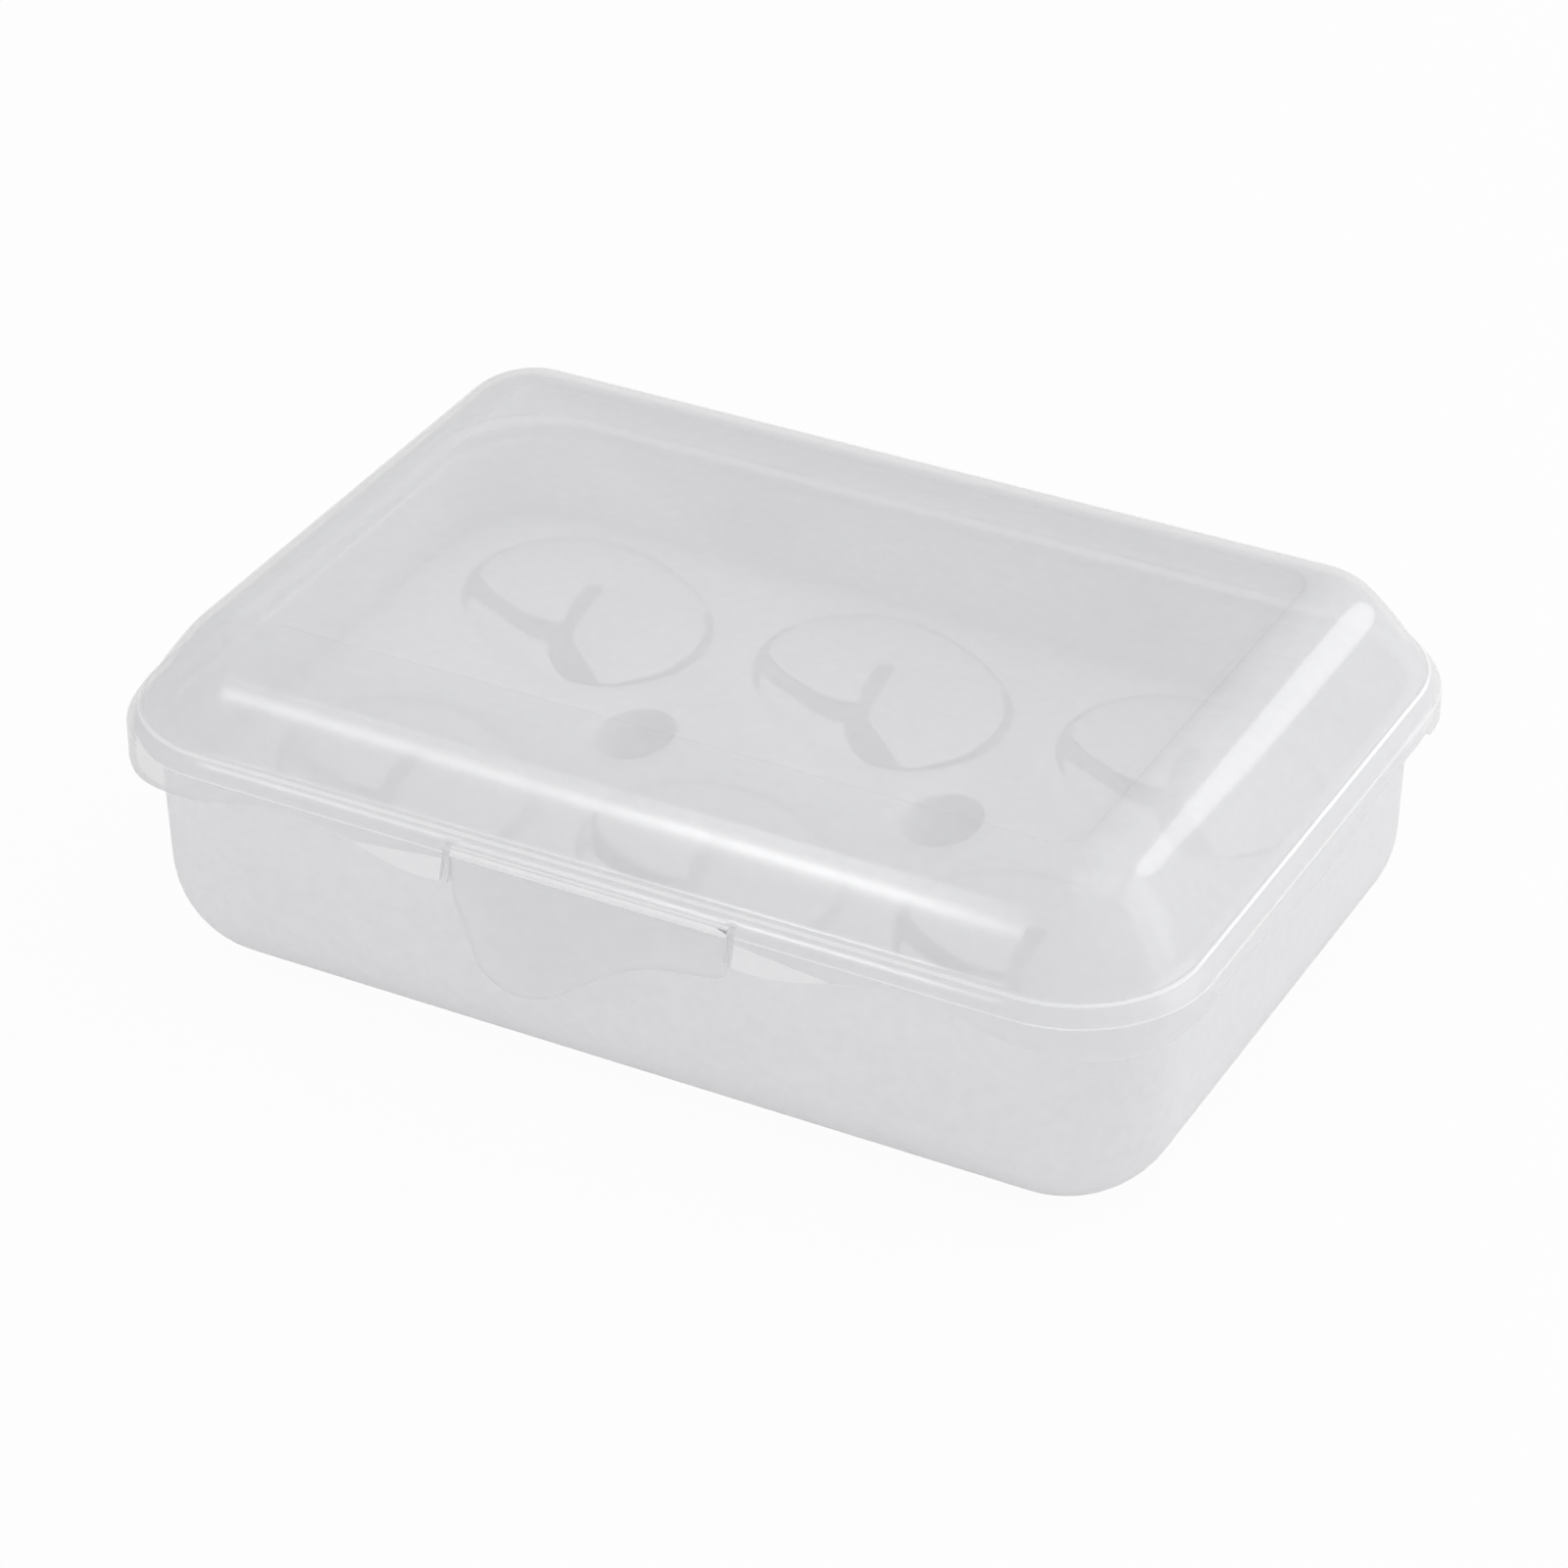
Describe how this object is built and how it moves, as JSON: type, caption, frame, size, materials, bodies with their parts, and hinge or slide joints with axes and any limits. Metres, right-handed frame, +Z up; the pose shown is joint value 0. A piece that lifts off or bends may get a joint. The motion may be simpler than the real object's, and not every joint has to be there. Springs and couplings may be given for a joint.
{
  "type": "egg storage box",
  "caption": "Translucent box for eggs: rounded tub, hinged domed lid with a lopsided front clasp, and a loose tray whose cups are closed by flexible petals",
  "frame": {"origin": "middle of the tub's flat underside, on the surface that the box stands on", "axes": "+X along the long side to the right seen from the clasp, +Y from the clasp to the rear hinge, +Z up"},
  "size_m": [0.2, 0.1438, 0.066],
  "materials": {
    "lid_plastic": "clear frosted polypropylene, moulded, soft gloss",
    "tub_plastic": "milky natural polypropylene, moulded, satin",
    "tray_plastic": "milky natural polypropylene, moulded, satin"
  },
  "bodies": {
    "tub": {"base_tub": "tub_plastic"},
    "lid": {"lid_shell": "lid_plastic"},
    "clasp": {"front_clasp": "lid_plastic"},
    "tray": {"egg_tray": "tray_plastic"},
    "leaf_1a_left": {"petal_1a_left": "tray_plastic"},
    "leaf_1a_right": {"petal_1a_right": "tray_plastic"},
    "leaf_1a_front": {"petal_1a_front": "tray_plastic"},
    "leaf_1b_left": {"petal_1b_left": "tray_plastic"},
    "leaf_1b_right": {"petal_1b_right": "tray_plastic"},
    "leaf_1b_front": {"petal_1b_front": "tray_plastic"},
    "leaf_2a_left": {"petal_2a_left": "tray_plastic"},
    "leaf_2a_right": {"petal_2a_right": "tray_plastic"},
    "leaf_2a_front": {"petal_2a_front": "tray_plastic"},
    "leaf_2b_left": {"petal_2b_left": "tray_plastic"},
    "leaf_2b_right": {"petal_2b_right": "tray_plastic"},
    "leaf_2b_front": {"petal_2b_front": "tray_plastic"},
    "leaf_3a_left": {"petal_3a_left": "tray_plastic"},
    "leaf_3a_right": {"petal_3a_right": "tray_plastic"},
    "leaf_3a_front": {"petal_3a_front": "tray_plastic"},
    "leaf_3b_left": {"petal_3b_left": "tray_plastic"},
    "leaf_3b_right": {"petal_3b_right": "tray_plastic"},
    "leaf_3b_front": {"petal_3b_front": "tray_plastic"}
  },
  "joints": [
    {"name": "lid_hinge", "type": "hinge", "parent": "tub", "child": "lid", "pos_m": [0, 0.0706, 0.0384], "axis": [-1, 0, 0], "range_deg": [0, 110]},
    {"name": "clasp_hinge", "type": "hinge", "parent": "lid", "child": "clasp", "pos_m": [0, -0.06883, 0.04675], "axis": [-1, 0, 0], "range_deg": [0, 100]},
    {"name": "tray_lift", "type": "slide", "parent": "tub", "child": "tray", "axis": [0, 0, 1], "range_m": [0, 0.018]},
    {"name": "petal_1a_right_bend", "type": "hinge", "parent": "tray", "child": "leaf_1a_right", "pos_m": [-0.04685, -0.0134, 0.0285], "axis": [0.809, -0.5878, 0], "range_deg": [0, 52], "stiffness_Nm_per_rad": 0.004},
    {"name": "petal_1a_left_bend", "type": "hinge", "parent": "tray", "child": "leaf_1a_left", "pos_m": [-0.07777, -0.01106, 0.0285], "axis": [0.7547, 0.6561, 0], "range_deg": [0, 52], "stiffness_Nm_per_rad": 0.004},
    {"name": "petal_1a_front_bend", "type": "hinge", "parent": "tray", "child": "leaf_1a_front", "pos_m": [-0.07147, -0.04618, 0.0285], "axis": [-0.788, 0.6157, 0], "range_deg": [0, 52], "stiffness_Nm_per_rad": 0.004},
    {"name": "petal_1b_right_bend", "type": "hinge", "parent": "tray", "child": "leaf_1b_right", "pos_m": [-0.04685, 0.0496, 0.0285], "axis": [0.809, -0.5878, 0], "range_deg": [0, 52], "stiffness_Nm_per_rad": 0.004},
    {"name": "petal_1b_left_bend", "type": "hinge", "parent": "tray", "child": "leaf_1b_left", "pos_m": [-0.07777, 0.05194, 0.0285], "axis": [0.7547, 0.6561, 0], "range_deg": [0, 52], "stiffness_Nm_per_rad": 0.004},
    {"name": "petal_1b_front_bend", "type": "hinge", "parent": "tray", "child": "leaf_1b_front", "pos_m": [-0.07147, 0.01682, 0.0285], "axis": [-0.788, 0.6157, 0], "range_deg": [0, 52], "stiffness_Nm_per_rad": 0.004},
    {"name": "petal_2a_right_bend", "type": "hinge", "parent": "tray", "child": "leaf_2a_right", "pos_m": [0.01315, -0.0134, 0.0285], "axis": [0.809, -0.5878, 0], "range_deg": [0, 52], "stiffness_Nm_per_rad": 0.004},
    {"name": "petal_2a_left_bend", "type": "hinge", "parent": "tray", "child": "leaf_2a_left", "pos_m": [-0.01776, -0.01106, 0.0285], "axis": [0.7547, 0.6561, 0], "range_deg": [0, 52], "stiffness_Nm_per_rad": 0.004},
    {"name": "petal_2a_front_bend", "type": "hinge", "parent": "tray", "child": "leaf_2a_front", "pos_m": [-0.01147, -0.04618, 0.0285], "axis": [-0.788, 0.6157, 0], "range_deg": [0, 52], "stiffness_Nm_per_rad": 0.004},
    {"name": "petal_2b_right_bend", "type": "hinge", "parent": "tray", "child": "leaf_2b_right", "pos_m": [0.01315, 0.0496, 0.0285], "axis": [0.809, -0.5878, 0], "range_deg": [0, 52], "stiffness_Nm_per_rad": 0.004},
    {"name": "petal_2b_left_bend", "type": "hinge", "parent": "tray", "child": "leaf_2b_left", "pos_m": [-0.01776, 0.05194, 0.0285], "axis": [0.7547, 0.6561, 0], "range_deg": [0, 52], "stiffness_Nm_per_rad": 0.004},
    {"name": "petal_2b_front_bend", "type": "hinge", "parent": "tray", "child": "leaf_2b_front", "pos_m": [-0.01147, 0.01682, 0.0285], "axis": [-0.788, 0.6157, 0], "range_deg": [0, 52], "stiffness_Nm_per_rad": 0.004},
    {"name": "petal_3a_right_bend", "type": "hinge", "parent": "tray", "child": "leaf_3a_right", "pos_m": [0.07315, -0.0134, 0.0285], "axis": [0.809, -0.5878, 0], "range_deg": [0, 52], "stiffness_Nm_per_rad": 0.004},
    {"name": "petal_3a_left_bend", "type": "hinge", "parent": "tray", "child": "leaf_3a_left", "pos_m": [0.04224, -0.01106, 0.0285], "axis": [0.7547, 0.6561, 0], "range_deg": [0, 52], "stiffness_Nm_per_rad": 0.004},
    {"name": "petal_3a_front_bend", "type": "hinge", "parent": "tray", "child": "leaf_3a_front", "pos_m": [0.04853, -0.04618, 0.0285], "axis": [-0.788, 0.6157, 0], "range_deg": [0, 52], "stiffness_Nm_per_rad": 0.004},
    {"name": "petal_3b_right_bend", "type": "hinge", "parent": "tray", "child": "leaf_3b_right", "pos_m": [0.07315, 0.0496, 0.0285], "axis": [0.809, -0.5878, 0], "range_deg": [0, 52], "stiffness_Nm_per_rad": 0.004},
    {"name": "petal_3b_left_bend", "type": "hinge", "parent": "tray", "child": "leaf_3b_left", "pos_m": [0.04224, 0.05194, 0.0285], "axis": [0.7547, 0.6561, 0], "range_deg": [0, 52], "stiffness_Nm_per_rad": 0.004},
    {"name": "petal_3b_front_bend", "type": "hinge", "parent": "tray", "child": "leaf_3b_front", "pos_m": [0.04853, 0.01682, 0.0285], "axis": [-0.788, 0.6157, 0], "range_deg": [0, 52], "stiffness_Nm_per_rad": 0.004}
  ],
  "couplings": [
    {"joint": "petal_1a_left_bend", "follows": "petal_1a_right_bend", "ratio": 1},
    {"joint": "petal_1a_front_bend", "follows": "petal_1a_right_bend", "ratio": 1},
    {"joint": "petal_1b_left_bend", "follows": "petal_1b_right_bend", "ratio": 1},
    {"joint": "petal_1b_front_bend", "follows": "petal_1b_right_bend", "ratio": 1},
    {"joint": "petal_2a_left_bend", "follows": "petal_2a_right_bend", "ratio": 1},
    {"joint": "petal_2a_front_bend", "follows": "petal_2a_right_bend", "ratio": 1},
    {"joint": "petal_2b_left_bend", "follows": "petal_2b_right_bend", "ratio": 1},
    {"joint": "petal_2b_front_bend", "follows": "petal_2b_right_bend", "ratio": 1},
    {"joint": "petal_3a_left_bend", "follows": "petal_3a_right_bend", "ratio": 1},
    {"joint": "petal_3a_front_bend", "follows": "petal_3a_right_bend", "ratio": 1},
    {"joint": "petal_3b_left_bend", "follows": "petal_3b_right_bend", "ratio": 1},
    {"joint": "petal_3b_front_bend", "follows": "petal_3b_right_bend", "ratio": 1}
  ]
}
